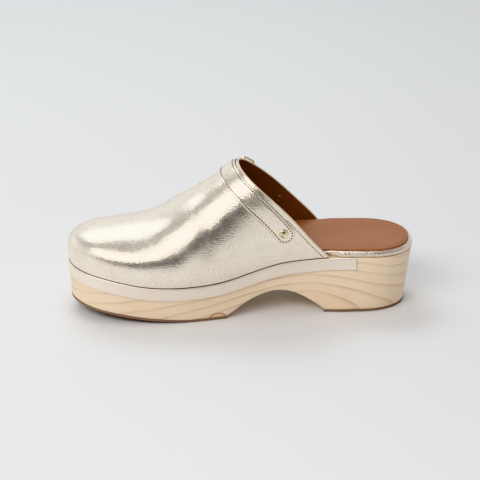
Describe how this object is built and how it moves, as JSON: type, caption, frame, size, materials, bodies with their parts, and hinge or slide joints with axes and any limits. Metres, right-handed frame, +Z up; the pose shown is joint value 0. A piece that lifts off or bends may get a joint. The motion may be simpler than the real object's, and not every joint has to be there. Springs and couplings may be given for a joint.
{
  "type": "platform clog",
  "caption": "Closed-toe backless clog: a metallic leather upper with a buckled instep strap on a wooden platform sole with an arched waist and block heel.",
  "frame": {"origin": "centre of the box's underside, on the floor", "axes": "+X from heel to toe, +Y towards the medial (inner) side, +Z up"},
  "size_m": [0.2606, 0.0962, 0.1125],
  "materials": {
    "pine": "sanded pale pine with a thin satin lacquer",
    "brown_rubber": "matt brown",
    "metallic_leather": "pale gold foil, glossy with a fine grain",
    "tan_leather": "smooth matt tan",
    "brass": "polished pale brass"
  },
  "bodies": {
    "root": {"wood_sole": "pine", "outsole_forefoot": "brown_rubber", "outsole_heel": "brown_rubber", "edge_strip": "metallic_leather", "footbed": "metallic_leather", "insole": "tan_leather", "upper": "metallic_leather", "instep_strap": "metallic_leather", "buckle_tab": "metallic_leather", "buckle_frame": "brass", "buckle_prong": "brass", "rivet_medial": "brass", "rivet_lateral": "brass"}
  },
  "joints": []
}
